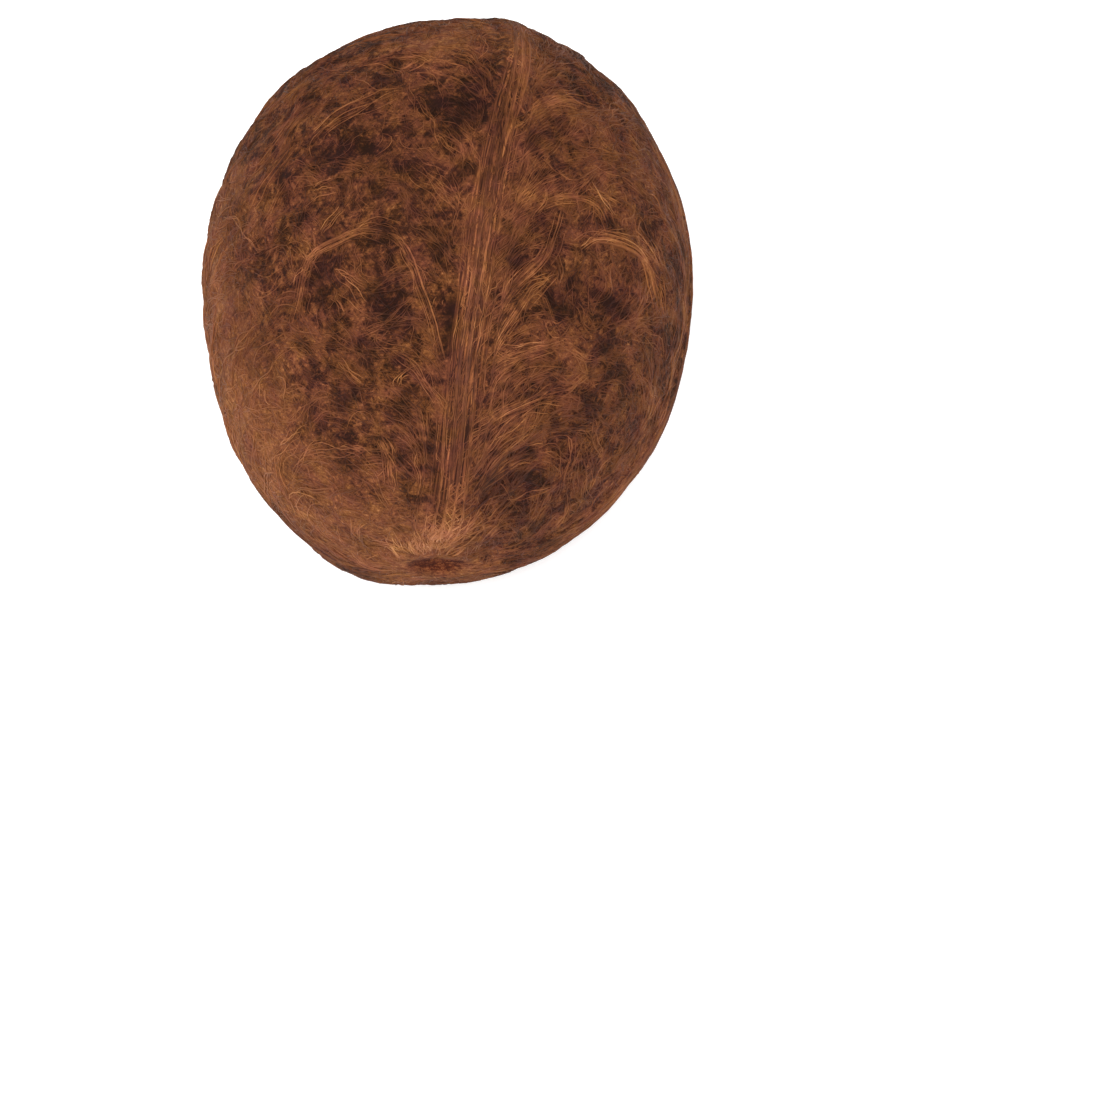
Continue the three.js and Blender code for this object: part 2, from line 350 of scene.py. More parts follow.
def seam_gap_share(point):
    """1 along the middle of the gap beside the seam."""
    south, north, turn, half_width = SEAM_GAP
    rows = [bell(away_from(latitude, turn, point), half_width) for latitude in range(south, north)]
    return np.max(rows, axis=0)


def pit_share(point):
    """1 in the middle of the small pits, GAP_PIT along the gap beside the seam, and 0 elsewhere."""
    share = np.zeros(point.shape[:-1])
    for latitude, turn, radius in PITS:
        ragged = radius * (1 + 0.25 * np.sin(2.1 * point[..., 0]) * np.sin(1.7 * point[..., 1]))
        share = share + bell(away_from(latitude, turn, point), ragged)
    return np.minimum(share + GAP_PIT * seam_gap_share(point), GAP_PIT)


def coat_tone(point):
    """How light the coat is, 0 to 1, from its patches and hollows and from slow waves."""
    lighter, darker = patch_tones(point)
    waves = TONE_WAVE * slow_waves(point, TONE_WAVES)
    worn = HOLLOW_DARKNESS * np.minimum(hollow_depth(point), 1) + PIT_DARKNESS * pit_share(point)
    return COAT_TONE + lighter + darker + waves - worn


def bundle_share(latitude, turn):
    """1 where the ridges' strands lie side by side. They spread out before the ends of the nut."""
    along = np.sin(latitude)
    spread = smoothstep(girth(along), 0.3, 0.6)
    return spread * in_bundles(along, from_ridges(along, turn), 4.6).max(axis=0)


def worn_share(point, latitude, turn):
    """How thin the coat is, 0 to 1: whole on the ridges and in the lighter patches."""
    thick = smoothstep(patch_tones(point)[0], 0.02, 0.1)
    return (1 - bundle_share(latitude, turn)) * (1 - 0.85 * thick)


# Swirls in the lie of the fibre: latitude and turn in degrees, reach and pull in millimetres
SWIRLS = [(-13, -25, 13, 24), (-14, 32, 13, 22), (22, -62, 12, 12), (-8, 160, 14, 20), (30, 130, 12, -14)]


def lie_level(latitude, turn):
    """A height whose contours are the lie of the fibre: arches, swirls and slow waves."""
    point = egg_point(latitude, turn)
    arch = np.cos(np.pi / 2 * across_lobe(turn))
    level = HALF_LENGTH * (np.sin(latitude) - ARCH_BEND * np.log(np.maximum(arch, 0.03)))
    for swirl_latitude, swirl_turn, reach, pull in SWIRLS:
        level = level + pull * bell(away_from(swirl_latitude, swirl_turn, point), reach)
    return level + LIE_WAVE * slow_waves(point, LIE_WAVES) * smoothstep(arch, 0.2, 0.8)


class Channel:
    """One socket's value in a finish. Adding, subtracting and multiplying it adds Math nodes."""

    def __init__(self, finish, socket):
        self.finish = finish
        self.socket = socket

    def maths(self, operation, other):
        return self.finish.node("ShaderNodeMath", {"operation": operation}, {0: self, 1: other})

    def __add__(self, other):
        return self.maths("ADD", other)

    def __sub__(self, other):
        return self.maths("SUBTRACT", other)

    def __mul__(self, other):
        return self.maths("MULTIPLY", other)


class Finish:
    """A material under its maker's hand. node() adds one node and gives its first output."""

    def __init__(self, name):
        self.material = bpy.data.materials.new(name)
        self.material.use_nodes = True
        self.tree = self.material.node_tree
        self.shader = self.tree.nodes["Principled BSDF"]

    def node(self, kind, settings=None, inputs=None, output=0):
        made = self.tree.nodes.new(kind)
        for setting, value in (settings or {}).items():
            if setting == "stops":
                self.fill_ramp(made.color_ramp, value)
            else:
                setattr(made, setting, value)
        for socket, value in (inputs or {}).items():
            self.feed(made.inputs[socket], value)
        return Channel(self, made.outputs[output])

    def fill_ramp(self, ramp, stops):
        while len(ramp.elements) < len(stops):
            ramp.elements.new(1)
        for element, (position, colour) in zip(ramp.elements, stops):
            element.position = position
            element.color = colour

    def feed(self, socket, value):
        if isinstance(value, Channel):
            self.tree.links.new(value.socket, socket)
        else:
            socket.default_value = value

    def set(self, **sockets):
        for name, value in sockets.items():
            self.feed(self.shader.inputs[name.replace("_", " ")], value)


def linear(red, green, blue):
    """A colour given as it looks on screen, 0 to 255, as the light values that a material takes."""
    def one(level):
        level = level / 255
        return level / 12.92 if level <= 0.04045 else ((level + 0.055) / 1.055) ** 2.4
    return (one(red), one(green), one(blue), 1)


COIR_COLOURS = [
    (0.0, linear(36, 19, 9)), (0.2, linear(62, 33, 16)), (0.42, linear(102, 59, 31)),
    (0.62, linear(139, 87, 48)), (0.82, linear(178, 122, 72)), (1.0, linear(212, 164, 112)),
]
RED_COLOURS = [
    (0.0, linear(42, 20, 17)), (0.2, linear(68, 34, 26)), (0.42, linear(103, 56, 38)),
    (0.62, linear(138, 81, 53)), (0.82, linear(175, 115, 79)), (1.0, linear(206, 155, 116)),
]


def numbers(piece, name, values):
    layer = piece.data.attributes.new(name, "FLOAT", "POINT")
    layer.data.foreach_set("value", np.asarray(values, dtype=np.float32))


# The skin's columns stand closer together on the ridges, where the ribs are finer than the felt
turn_steps = np.linspace(-np.pi, np.pi, 2001)
crowding = 1 + sum(RIDGE_CROWDING * bell(wrapped(turn_steps - ridge), CROWDED_REACH) for ridge in RIDGE_TURNS)
crowded = np.concatenate([[0], np.cumsum((crowding[1:] + crowding[:-1]) / 2)])
even_steps = crowded / crowded[-1] * 2 * np.pi - np.pi

skin_mesh = bpy.data.meshes.new("skin")
skin_shape = bmesh.new()
bmesh.ops.create_uvsphere(skin_shape, u_segments=SKIN_COLUMNS, v_segments=SKIN_ROWS, radius=1)
ball = np.array([vertex.co for vertex in skin_shape.verts])
ball_latitude = np.arcsin(np.clip(ball[:, 2], -1, 1))
ball_turn = np.interp(np.arctan2(ball[:, 1], ball[:, 0]), even_steps, turn_steps)
skin_points = (skin_point(ball_latitude, ball_turn) + EGG_MIDDLE) * MM
for vertex, point in zip(skin_shape.verts, skin_points):
    vertex.co = point
for face in skin_shape.faces:
    face.smooth = True
skin_shape.to_mesh(skin_mesh)
skin_shape.free()
skin = bpy.data.objects.new("shell_skin", skin_mesh)
bpy.context.collection.objects.link(skin)

# The felt's own small lumps, then the flat spot that the nut lies on
felt_lumps = bpy.data.textures.new("felt_lumps", "CLOUDS")
felt_lumps.noise_scale = FELT_LUMP_SIZE * MM
felt_lumps.noise_depth = 2
felt = skin.modifiers.new("felt", "DISPLACE")
felt.texture = felt_lumps
felt.texture_coords = "LOCAL"
felt.strength = FELT_LUMP_HEIGHT * MM
felt.mid_level = 0.5
skin.data = bpy.data.meshes.new_from_object(
    skin.evaluated_get(bpy.context.evaluated_depsgraph_get()))
skin.modifiers.clear()
for vertex in skin.data.vertices:
    vertex.co.z = max(vertex.co.z, 0)

skin_places = np.empty(len(skin.data.vertices) * 3)
skin.data.vertices.foreach_get("co", skin_places)
skin_places = skin_places.reshape(-1, 3) / MM - EGG_MIDDLE
skin_latitude, skin_turn = egg_place(skin_places)
skin_off = from_ridges(np.sin(skin_latitude), skin_turn)
nearest_ridge = np.abs(skin_off).argmin(axis=0)
numbers(skin, "tone", coat_tone(skin_places))
numbers(skin, "worn", worn_share(skin_places, skin_latitude, skin_turn))
numbers(skin, "scar", 1 - smoothstep(scar_distance(skin_places), 0.7, 1.25))
numbers(skin, "lie", lie_level(skin_latitude, skin_turn))
numbers(skin, "bundle", bundle_share(skin_latitude, skin_turn))
numbers(skin, "off", np.take_along_axis(skin_off, nearest_ridge[None, :], axis=0)[0])


def worn_gaps(finish, position, raggedness=0):
    """1 in the dark gaps, 2 to 5 mm across, where the coat has worn thin, and 0 elsewhere."""
    thickness = finish.node("ShaderNodeTexNoise", inputs={
        "Vector": position, "Scale": 180.0, "Detail": 3.0, "Roughness": 0.55, "Distortion": 1.2})
    gap = finish.node("ShaderNodeMapRange", {"interpolation_type": "SMOOTHSTEP"}, {
        "Value": thickness + raggedness, "From Min": 0.58, "From Max": 0.36})
    worn = finish.node("ShaderNodeAttribute", {"attribute_name": "worn"}, output="Fac")
    return gap * worn


def coir_colour(finish, position, shade):
    """The coir's colour at a shade of 0 to 1: orange brown in some patches and redder in others."""
    redness = finish.node("ShaderNodeTexNoise", inputs={
        "Vector": position, "Scale": 200.0, "Detail": 3.0, "Roughness": 0.6})
    share = finish.node("ShaderNodeMapRange", inputs={
        "Value": redness, "From Min": 0.36, "From Max": 0.7})
    orange = finish.node("ShaderNodeValToRGB", {"stops": COIR_COLOURS}, {"Fac": shade})
    red = finish.node("ShaderNodeValToRGB", {"stops": RED_COLOURS}, {"Fac": shade})
    return finish.node("ShaderNodeMix", {"data_type": "RGBA"}, {
        "Factor": share, "A": orange, "B": red}, output=2)


def lying_fibres(finish, position, turned, thickness=0.7 * MM, length=3.6 * MM):
    """Fine streaks that lie one way, as felted fibres do, turned about Z by an angle in radians."""
    laid = finish.node("ShaderNodeMapping", {"vector_type": "TEXTURE"}, {
        "Vector": position, "Rotation": (0.0, 0.0, turned), "Scale": (thickness, length, thickness)})
    return finish.node("ShaderNodeTexNoise", inputs={
        "Vector": laid, "Scale": 1.0, "Detail": 2.0, "Roughness": 0.6, "Distortion": 0.9})


felt_finish = Finish("coir_felt")
position = felt_finish.node("ShaderNodeTexCoord", output="Object")
tone = felt_finish.node("ShaderNodeAttribute", {"attribute_name": "tone"}, output="Fac")
scar = felt_finish.node("ShaderNodeAttribute", {"attribute_name": "scar"}, output="Fac")
lie = felt_finish.node("ShaderNodeAttribute", {"attribute_name": "lie"}, output="Fac")
bundle = felt_finish.node("ShaderNodeAttribute", {"attribute_name": "bundle"}, output="Fac")
off = felt_finish.node("ShaderNodeAttribute", {"attribute_name": "off"}, output="Fac")
mottle = felt_finish.node("ShaderNodeTexNoise", inputs={
    "Vector": position, "Scale": 600.0, "Detail": 2.0, "Roughness": 0.6})
combed = felt_finish.node("ShaderNodeTexNoise", {"noise_dimensions": "4D"}, {
    "Vector": position, "W": lie * 1.8, "Scale": 180.0, "Detail": 1.0, "Roughness": 0.6, "Distortion": 0.4})
crossed = (lying_fibres(felt_finish, position, 0.5) + lying_fibres(felt_finish, position, 1.5)
           + lying_fibres(felt_finish, position, 2.5))
felted = (crossed - 1.5) * 0.5 + (combed - 0.5) * 0.7 + (mottle - 0.5) * 0.35
gap = worn_gaps(felt_finish, position, felted * 0.3)
# On the ridges the fibres lie lengthwise
length_along = felt_finish.node("ShaderNodeSeparateXYZ", inputs={"Vector": position}, output=1)
strand_line = felt_finish.node("ShaderNodeCombineXYZ", inputs={"X": off * 1.9, "Y": length_along * 90})
drawn_out = felt_finish.node("ShaderNodeTexNoise", {"noise_dimensions": "2D"}, {
    "Vector": strand_line, "Scale": 1.0, "Detail": 2.0, "Roughness": 0.6, "Distortion": 0.3})
fibres = felted + bundle * ((drawn_out - 0.5) * 1.4 - 0.06 - felted)
shade = tone + fibres - gap * 0.26
felt_colour = coir_colour(felt_finish, position, shade)
scar_colour = felt_finish.node("ShaderNodeValToRGB", {"stops": [
    (0.0, linear(44, 15, 7)), (0.4, linear(78, 32, 15)), (0.8, linear(140, 78, 42))]}, {
    "Fac": fibres * 2.2 + 0.34})
coat_colour = felt_finish.node("ShaderNodeMix", {"data_type": "RGBA"}, {
    "Factor": scar, "A": felt_colour, "B": scar_colour}, output=2)
grain = felt_finish.node("ShaderNodeBump", inputs={
    "Strength": 0.6, "Distance": 0.0004, "Height": fibres * 1.4 - gap * 0.6})
felt_finish.set(Base_Color=coat_colour, Roughness=0.9, Specular_IOR_Level=0.08, Normal=grain)
skin.data.materials.append(felt_finish.material)
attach(skin, "root")
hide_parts("coconut")


# The matted coir
# Loose brown fibres, 0.2 to 0.35 mm thick, that the husking tore and left lying on the shell. Short
# curly ones make a mat everywhere but in the worn hollows. Longer ones arch over each lobe, coil round
# its swirl and run down beside the ridges to the eyes.
STRAND_SIDES = 3
FINE_RADIUS = (0.09, 0.15)
LOOSE_RADIUS = (0.1, 0.16)
SUNK_DEPTH = 0.05
FLOOR_CLEARANCE = 0.3
WANDER = 0.25
MAT_STRANDS = 6900
ARCH_LOCKS = 390
ARCH_LOCK_STRANDS = 3
RIDGE_MARGIN = 3
CURLS_ROUND_EACH = 6
LOCK_STRANDS = 6
BAND_STRANDS = 36
BAND_SPREAD = 0.85
FEATHER_LOCKS = 130
FEATHER_LOCK_STRANDS = 4
FEATHER_LEAN = 0.25
# The lobes between the ridges: the turns that each runs between
LOBES = [(-130, 0), (0, 92), (92, 230)]
dice = np.random.default_rng(20)
skin_tree = BVHTree.FromObject(skin, bpy.context.evaluated_depsgraph_get())


def compass(latitude, turn):
    """Unit vectors along the egg, towards the blunt end and towards growing turn."""
    step = 1e-4
    north = egg_point(latitude + step, turn) - egg_point(latitude - step, turn)
    east = egg_point(latitude, turn + step) - egg_point(latitude, turn - step)
    north_length = np.linalg.norm(north, axis=-1, keepdims=True)
    east_length = np.maximum(np.linalg.norm(east, axis=-1, keepdims=True), 1e-9)
    return north / north_length, east / east_length, north_length[..., 0] / step, east_length[..., 0] / step


def lie_heading(latitude, turn):
    """The way the fibre lies, as an angle from north towards east."""
    _, _, north_length, east_length = compass(latitude, turn)
    step = 1e-3
    rise_north = (lie_level(latitude + step, turn) - lie_level(latitude - step, turn)) / north_length
    rise_east = (lie_level(latitude, turn + step) - lie_level(latitude, turn - step)) / east_length
    return np.arctan2(-rise_north, rise_east)


def walk(latitude, turn, length, points, aside, curl, follow=1):
    """Paths over the egg that follow the lie, or north if follow is 0, turned aside by an angle
    that grows by curl for each millimetre."""
    path = []
    step = length / (points - 1)
    sway = dice.uniform(0, 2 * np.pi, latitude.shape)
    for index in range(points):
        path.append((latitude, turn))
        heading = follow * lie_heading(latitude, turn) + aside + curl * step * (index - points / 2)
        heading = heading + WANDER * np.sin(sway + index * 1.1)
        north, east, _, _ = compass(latitude, turn)
        ahead = np.cos(heading)[:, None] * north + np.sin(heading)[:, None] * east
        latitude, turn = egg_place(egg_point(latitude, turn) + ahead * step[:, None])
    latitudes, turns = zip(*path)
    return np.stack(latitudes, axis=1), np.stack(turns, axis=1)


def scatter(count, south=-90.0, north=90.0, west=-180.0, east=180.0):
    """Places spread evenly over a part of the nut, as latitudes and turns."""
    along = dice.uniform(math.sin(math.radians(south)), math.sin(math.radians(north)), count)
    return np.arcsin(along), np.radians(dice.uniform(west, east, count))


section = bpy.data.curves.new("strand_section", "CURVE")
section.dimensions = "2D"
corners = section.splines.new("POLY")
corners.points.add(STRAND_SIDES - 1)
corners.use_cyclic_u = True
for corner, spot in enumerate(corners.points):
    corner_angle = 2 * math.pi * corner / STRAND_SIDES + math.pi / 2
    spot.co = (MM * math.cos(corner_angle), MM * math.sin(corner_angle), 0, 1)
section_object = bpy.data.objects.new("strand_section", section)
bpy.context.collection.objects.link(section_object)


def in_the_clear(latitude, turn):
    """Which strands keep off the scar and out of the gap beside the seam along their whole length."""
    point = egg_point(latitude, turn)
    return (scar_distance(point).min(axis=1) > 1.15) & (seam_gap_share(point).max(axis=1) < 0.5)


def lay_strands(name, latitude, turn, radius, lift, tone_of_strand):
    """One piece of many strands laid on the skin along paths of latitude and turn. Each strand has
    its own radius and its own lift, which is how far its middle stands off, both in millimetres."""
    clear = in_the_clear(latitude, turn)
    latitude = latitude[clear]
    turn = turn[clear]
    radius = radius[clear]
    lift = lift[clear]
    tone_of_strand = tone_of_strand[clear]
    count, points = latitude.shape
    share = np.linspace(0, 1, points)
    taper = np.minimum(1, 4 * np.minimum(share, 1 - share)) ** 0.6
    rise = np.sin(np.pi * share)[None, :] * lift[:, None]
    spots = (egg_point(latitude, turn) + EGG_MIDDLE) * MM
    curve = bpy.data.curves.new(name, "CURVE")
    curve.dimensions = "3D"
    curve.twist_mode = "MINIMUM"
    laid = np.ones((count, points, 4), dtype=np.float32)
    for strand in range(count):
        for index in range(points):
            near, normal, _, _ = skin_tree.find_nearest(Vector(spots[strand, index]))
            high = (rise[strand, index] - SUNK_DEPTH) * MM
            laid[strand, index, 0:3] = near + normal * high
    laid[:, :, 2] = np.maximum(laid[:, :, 2], FLOOR_CLEARANCE * MM)
    radii = (radius[:, None] * taper[None, :]).astype(np.float32)
    for strand in range(count):
        spline = curve.splines.new("POLY")
        spline.points.add(points - 1)
        spline.points.foreach_set("co", laid[strand].ravel())
        spline.points.foreach_set("radius", radii[strand])
    curve.bevel_mode = "OBJECT"
    curve.bevel_object = section_object
    bevelled = bpy.data.objects.new(name + "_path", curve)
    bpy.context.collection.objects.link(bevelled)
    mesh = bpy.data.meshes.new_from_object(
        bevelled.evaluated_get(bpy.context.evaluated_depsgraph_get()))
    bpy.data.objects.remove(bevelled)
    bpy.data.curves.remove(curve)
    mesh.name = name
    piece = bpy.data.objects.new(name, mesh)
    bpy.context.collection.objects.link(piece)
    mesh.shade_smooth()
    tone_here = coat_tone(egg_point(latitude, turn)) + tone_of_strand[:, None]
    numbers(piece, "tone", np.repeat(tone_here.ravel(), STRAND_SIDES))
    worn_here = worn_share(egg_point(latitude, turn), latitude, turn)
    numbers(piece, "worn", np.repeat(worn_here.ravel(), STRAND_SIDES))
    pointed = bmesh.new()
    pointed.from_mesh(mesh)
    bmesh.ops.remove_doubles(pointed, verts=pointed.verts, dist=0.002 * MM)
    pointed.to_mesh(mesh)
    pointed.free()
    mesh.materials.append(fibre_finish.material)
    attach(piece, "root")


fibre_finish = Finish("coir_fibre")
position = fibre_finish.node("ShaderNodeTexCoord", output="Object")
tone = fibre_finish.node("ShaderNodeAttribute", {"attribute_name": "tone"}, output="Fac")
stain = fibre_finish.node("ShaderNodeTexNoise", inputs={
    "Vector": position, "Scale": 500.0, "Detail": 2.0, "Roughness": 0.6})
shade = tone + (stain - 0.5) * 0.24 - worn_gaps(fibre_finish, position) * 0.16
fibre_finish.set(
    Base_Color=coir_colour(fibre_finish, position, shade), Roughness=0.7, Specular_IOR_Level=0.12)


def kept(latitude, turn, share):
    """Which strands are kept: few of them start in a worn hollow or in the eye of a swirl."""
    point = egg_point(latitude, turn)
    hollow = np.minimum(hollow_depth(point, 1.1), 1)
    cover = 1 - share * np.minimum(hollow + pit_share(point), 1)
    for swirl_latitude, swirl_turn, reach, _ in SWIRLS:
        away = away_from(swirl_latitude, swirl_turn, point)
        cover = cover * smoothstep(away, 0.12 * reach, 0.4 * reach)
    return dice.uniform(0, 1, latitude.shape) < cover


for part in range(3):
    latitude, turn = scatter(MAT_STRANDS)
    keep = kept(latitude, turn, 0.7)
    latitude = latitude[keep]
    turn = turn[keep]
    count = len(latitude)
    paths = walk(latitude, turn, dice.uniform(2.5, 7, count), 5,
                 dice.normal(0, 0.8, count), dice.normal(0, 0.2, count))
    lay_strands(f"mat_{part + 1}", *paths, dice.uniform(*FINE_RADIUS, count),
                dice.uniform(0.0, 0.2, count), dice.normal(0, 0.05, count))


def in_locks(latitude, turn, each, jitter):
    """Each place repeated for the strands of one lock, which start within jitter millimetres of it."""
    latitude = np.repeat(latitude, each) + dice.normal(0, jitter, len(latitude) * each) / HALF_LENGTH
    away = GIRTH_RADIUS * np.maximum(girth(np.sin(latitude)), 0.2)
    return latitude, np.repeat(turn, each) + dice.normal(0, jitter, len(latitude)) / away


def shared(low, high, locks, each, apart):
    """A value that the strands of a lock have in common, give or take apart."""
    return np.repeat(dice.uniform(low, high, locks), each) + dice.normal(0, apart, locks * each)


for part, (west, east) in enumerate(LOBES):
    latitude, turn = scatter(ARCH_LOCKS, -84, 84, west + RIDGE_MARGIN, east - RIDGE_MARGIN)
    keep = kept(latitude, turn, 0.4)
    locks = int(keep.sum())
    each = ARCH_LOCK_STRANDS
    latitude, turn = in_locks(latitude[keep], turn[keep], each, 0.5)
    paths = walk(latitude, turn, shared(8, 19, locks, each, 1), 11,
                 shared(-0.6, 0.6, locks, each, 0.08), shared(-0.09, 0.09, locks, each, 0.01))
    lay_strands(f"arches_{part + 1}", *paths, dice.uniform(*LOOSE_RADIUS, locks * each),
                dice.uniform(0.05, 0.3, locks * each), shared(-0.03, 0.17, locks, each, 0.03))

# Strands that curl part of the way round each worn hollow
middles = np.repeat(np.array(ALL_HOLLOWS), CURLS_ROUND_EACH, axis=0)
count = len(middles)
latitude = np.radians(middles[:, 0])
turn = np.radians(middles[:, 1])
begin = dice.uniform(0, 6.3, count)
sweep = dice.uniform(0.8, 2.0, count)
squeeze = dice.uniform(0, 6.3, count)
swing = begin[:, None] + sweep[:, None] * np.linspace(0, 1, 10)
reach = (middles[:, 2] * dice.uniform(0.8, 1.6, count))[:, None] * (
    1 + 0.3 * np.sin(2 * swing + squeeze[:, None]) + 0.12 * np.sin(5 * swing))
north, east, _, _ = compass(latitude, turn)
round_it = ((reach * np.cos(swing))[:, :, None] * north[:, None, :]
            + (reach * np.sin(swing))[:, :, None] * east[:, None, :])
paths = egg_place(egg_point(latitude, turn)[:, None, :] + round_it)
lay_strands("curls", *paths, dice.uniform(*LOOSE_RADIUS, count),
            dice.uniform(0.1, 0.4, count), dice.normal(0.1, 0.07, count))

# Locks of strands that stand out round the two swirls, under the arches and across the hollows:
# latitude and turn of the start, heading from north towards east, length, and bend to the right
LOCKS = [
    (-5, -43, 140, 8, 20), (-10, -38, -140, 5, -60), (-4, -37, 40, 6, -40), (-6, -31, 100, 12, 80),
    (-9, -18, 150, 11, 20), (-12, -32, 130, 9, 0), (-19, -14, -120, 10, 40), (-16, -33, 150, 7, 0),
    (-30, -34, 140, 10, -20), (-49, -39, 130, 6, 80), (-48, -25, 180, 10, 40), (-50, -13, 160, 8, -20),
    (-43, -62, 80, 8, 0), (-37, -18, 50, 6, 80), (5, 14, -160, 8, 40), (9, 26, 130, 8, -60),
    (-6, 26, 50, 8, 20), (-3, 33, 80, 8, 60), (-2, 43, 110, 11, 40), (-5, 55, 140, 9, 40),
    (-13, 19, -150, 12, -40), (-26, 23, -110, 10, 0), (-29, 7, 90, 9, -60), (-51, 10, 30, 11, 0),
    (-43, 17, 60, 12, 60), (-55, 19, 120, 8, 0), (-54, 22, 50, 6, 40), (24, -21, 150, 12, 20),
    (15, -14, 140, 9, 0), (18, -44, 60, 16, 0), (5, -40, 90, 6, 40), (-14, 8, -170, 6, 0),
]
locks = np.repeat(np.array(LOCKS, dtype=float), LOCK_STRANDS, axis=0)
count = len(locks)
latitude = np.radians(locks[:, 0]) + dice.normal(0, 0.8, count) / HALF_LENGTH
turn = np.radians(locks[:, 1]) + dice.normal(0, 0.8, count) / GIRTH_RADIUS
length = locks[:, 3] * dice.uniform(0.7, 1.4, count)
paths = walk(latitude, turn, length, 10, np.radians(locks[:, 2]) + dice.normal(0, 0.13, count),
             np.radians(locks[:, 4]) / length, follow=0)
lay_strands("locks", *paths, dice.uniform(*LOOSE_RADIUS, count),
            dice.uniform(0.15, 0.45, count), dice.normal(0.21, 0.07, count))

# Long bands of strands: the latitudes and turns that each runs through. The first leaves the seam,
# arches over the left swirl and comes down its far side. The last two are the seam's lightest strands.
BANDS = [
    [(-33, -5), (-28, -7.5), (-24, -9), (-18, -12), (-12, -15), (-7, -19), (-5, -26), (-6, -32), (-8, -38),
     (-13, -41), (-18, -43), (-23, -46)],
    [(-28, 7), (-23, 10), (-18, 13), (-12, 18)],
    [(-21, 7), (-17, 9), (-13, 13), (-9, 16), (-4, 17), (0, 18)],
    [(-24, 5), (-18, 7), (-13, 7)],
    [(-6, 25), (-3, 29), (-2, 34), (-2, 41), (-3, 49), (-7, 55), (-11, 59)],
    [(1, 14), (3, 18), (4, 24), (3, 29), (0, 33)],
    [(-48, -25), (-51, -23), (-55, -24), (-60, -25)],
    [(-42, -12), (-46, -11), (-50, -10), (-55, -9), (-59, -10), (-64, -13)],
    [(-43, -5), (-51, -5), (-58, -4), (-67, -5)],
    [(-50, 4), (-46, 7), (-42, 13), (-39, 20), (-36, 28), (-35, 36)],
    [(-33, 7), (-31, 11), (-29, 17), (-26, 25)],
    [(-5, 1.8), (-12, 1.8), (-19, 1.9), (-26, 1.8), (-33, 1.3)],
    [(-13, -0.9), (-20, -0.7), (-26, -0.9), (-33, -1.6)],
]


def along_band(band, share):
    """Latitudes and turns at shares of the way along a smooth path through a band's places."""
    places = np.radians(np.array(band, dtype=float))
    reached = share * (len(places) - 1)
    first = np.clip(np.floor(reached).astype(int), 0, len(places) - 2)
    part = (reached - first)[..., None]
    before = places[np.maximum(first - 1, 0)]
    start = places[first]
    end = places[first + 1]
    after = places[np.minimum(first + 2, len(places) - 1)]
    path = start + part / 2 * (end - before + part * (
        2 * before - 5 * start + 4 * end - after + part * (3 * start - before - 3 * end + after)))
    return path[..., 0], path[..., 1]


band_paths = []
for band in BANDS:
    begin = np.maximum(dice.uniform(-0.15, 0.6, BAND_STRANDS), 0)
    end = np.minimum(begin + dice.uniform(0.3, 0.55, BAND_STRANDS), 1)
    share = begin[:, None] + (end - begin)[:, None] * np.linspace(0, 1, 14)
    latitude, turn = along_band(band, share)
    latitude = latitude + dice.normal(0, BAND_SPREAD, (BAND_STRANDS, 1)) / HALF_LENGTH
    away = GIRTH_RADIUS * np.maximum(girth(np.sin(latitude)), 0.2)
    band_paths.append((latitude, turn + dice.normal(0, BAND_SPREAD, (BAND_STRANDS, 1)) / away))
count = BAND_STRANDS * len(BANDS)
latitudes, turns = zip(*band_paths)
lay_strands("bands", np.concatenate(latitudes), np.concatenate(turns), dice.uniform(0.1, 0.17, count),
            dice.uniform(0.15, 0.4, count), dice.normal(0.15, 0.08, count))

# Longer strands that leave both sides of the seam and bend away into the lobes
locks = FEATHER_LOCKS
each = FEATHER_LOCK_STRANDS
along = dice.uniform(-0.92, 0.5, locks)
side = dice.choice([-1, 1], locks, p=[0.3, 0.7])
turn = side * dice.uniform(2, 5, locks) / (GIRTH_RADIUS * np.maximum(girth(along), 0.3))
latitude, turn = in_locks(np.arcsin(along), turn, each, 0.5)
aside = np.repeat(np.where(side > 0, np.pi + FEATHER_LEAN, -FEATHER_LEAN), each)
paths = walk(latitude, turn, shared(12, 25, locks, each, 1), 12,
             aside + shared(-0.25, 0.25, locks, each, 0.05), shared(-0.02, 0.02, locks, each, 0.005))
lay_strands("feathers", *paths, dice.uniform(*LOOSE_RADIUS, locks * each),
            dice.uniform(0.1, 0.35, locks * each), shared(0, 0.2, locks, each, 0.03))


